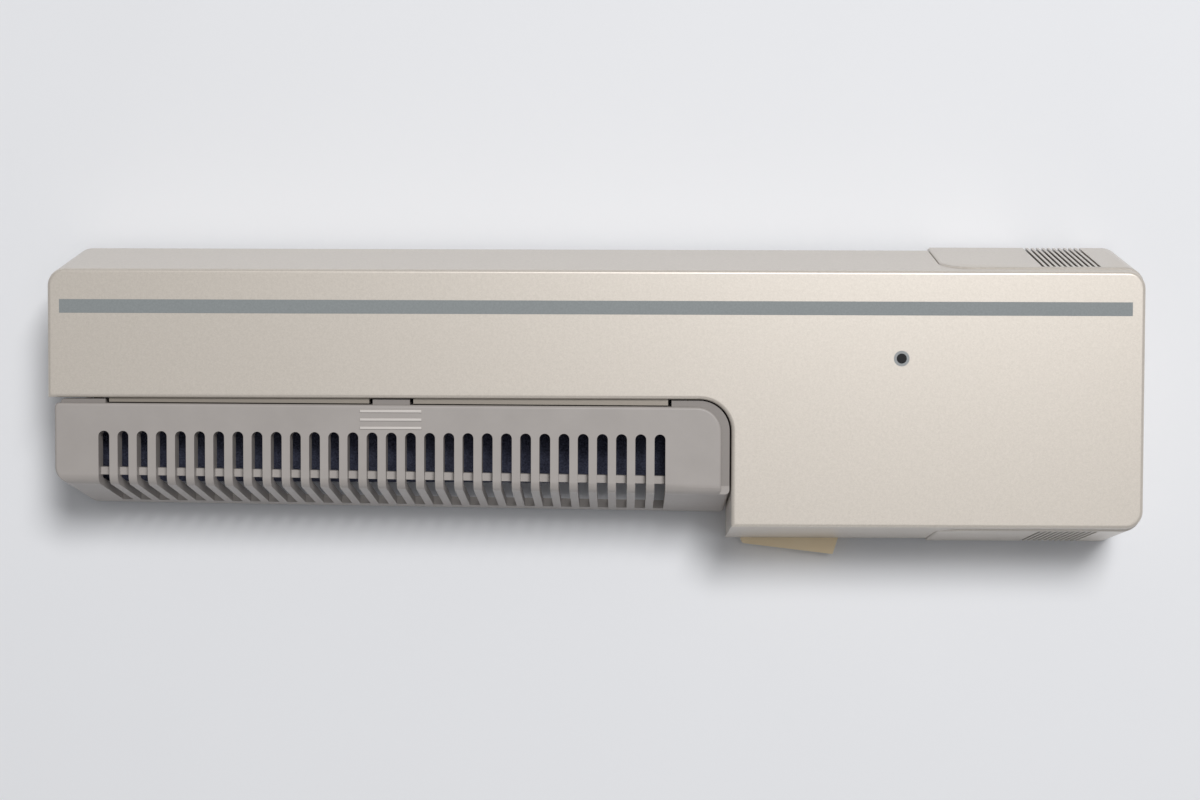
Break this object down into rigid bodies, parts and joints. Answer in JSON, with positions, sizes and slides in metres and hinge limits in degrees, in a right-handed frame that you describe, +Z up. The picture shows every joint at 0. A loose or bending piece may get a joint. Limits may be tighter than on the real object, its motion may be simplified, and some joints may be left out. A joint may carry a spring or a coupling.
{
  "type": "self-propelled record cleaner",
  "caption": "L-shaped battery-driven record cleaner: velvet roller under a louvred cover, geared drive tyre, idler wheel, spindle socket, switch lever and slide-off battery end.",
  "frame": {"origin": "spindle axis at the record's surface, which is the spindle hub's lower rim", "axes": "+X from the spindle to the battery end, +Y to the plain long side, +Z up to the face"},
  "size_m": [0.2006, 0.0591, 0.0272],
  "materials": {
    "shell_paint": "satin metallic champagne silver",
    "cover_plastic": "fine satin, taupe grey",
    "dark_plastic": "moulded, matt",
    "lever_plastic": "cream, smooth",
    "gear_plastic": "moulded nylon, off-white",
    "velvet": "short dark navy pile",
    "tyre_rubber": "matt black",
    "plate_steel": "plain sheet and turned bar",
    "spring_steel": "nickel-plated",
    "bush_brass": "sintered, plain",
    "cell_sleeve": "plain printed-free sleeve"
  },
  "bodies": {
    "housing": {"top_shell": "shell_paint", "base_plate": "dark_plastic", "housing_screws": "plate_steel", "spindle_hub": "dark_plastic", "drive_belt": "tyre_rubber", "gear_shafts": "plate_steel", "gear_plate_left": "plate_steel", "gear_plate_right": "plate_steel", "idler_axle": "plate_steel", "motor_case": "plate_steel", "battery_cells": "cell_sleeve", "contact_plates": "spring_steel", "contact_springs": "spring_steel", "lever_pivot_pin": "plate_steel", "leaf_switch": "dark_plastic"},
    "cover": {"brush_cover": "cover_plastic"},
    "lid": {"battery_lid": "shell_paint"},
    "lever": {"switch_lever": "lever_plastic", "lever_spring": "spring_steel"},
    "brush": {"brush_core": "dark_plastic", "brush_velvet": "velvet", "brush_axle": "plate_steel", "brush_gear": "gear_plastic"},
    "drive": {"drive_axle": "plate_steel", "wheel_hub": "gear_plastic", "traction_tyre": "tyre_rubber", "drive_gear": "gear_plastic"},
    "transfer": {"transfer_gear": "gear_plastic"},
    "pulley": {"belt_pulley": "gear_plastic"},
    "rotor": {"motor_shaft": "plate_steel", "motor_pulley": "bush_brass"},
    "idler": {"idler_wheel": "gear_plastic", "idler_tyre": "tyre_rubber"}
  },
  "joints": [
    {"name": "brush_spin", "type": "hinge", "parent": "housing", "child": "brush", "pos_m": [0, -0.0164, 0.0083], "axis": [1, 0, 0], "continuous": true},
    {"name": "drive_spin", "type": "hinge", "parent": "housing", "child": "drive", "pos_m": [0, 0.004, 0.009], "axis": [1, 0, 0], "continuous": true},
    {"name": "transfer_spin", "type": "hinge", "parent": "housing", "child": "transfer", "pos_m": [0, -0.00694, 0.01392], "axis": [1, 0, 0], "continuous": true},
    {"name": "pulley_spin", "type": "hinge", "parent": "housing", "child": "pulley", "pos_m": [0, 0.00479, 0.01642], "axis": [1, 0, 0], "continuous": true},
    {"name": "motor_spin", "type": "hinge", "parent": "housing", "child": "rotor", "pos_m": [0, -0.0195, 0.0108], "axis": [1, 0, 0], "continuous": true},
    {"name": "idler_spin", "type": "hinge", "parent": "housing", "child": "idler", "pos_m": [0, -0.023, 0.004], "axis": [1, 0, 0], "continuous": true},
    {"name": "cover_lift", "type": "slide", "parent": "housing", "child": "cover", "axis": [0, 0, 1], "range_m": [0, 0.03]},
    {"name": "lid_slide", "type": "slide", "parent": "housing", "child": "lid", "axis": [1, 0, 0], "range_m": [0, 0.038]},
    {"name": "lever_press", "type": "hinge", "parent": "housing", "child": "lever", "pos_m": [-0.0255, -0.03022, 0.0038], "axis": [0, 0, 1], "range_deg": [0, 8], "stiffness_Nm_per_rad": 0.01}
  ],
  "couplings": [
    {"joint": "drive_spin", "follows": "brush_spin", "ratio": 0.8},
    {"joint": "transfer_spin", "follows": "brush_spin", "ratio": -0.57143},
    {"joint": "pulley_spin", "follows": "brush_spin", "ratio": 1.7143},
    {"joint": "motor_spin", "follows": "brush_spin", "ratio": 6.087}
  ]
}
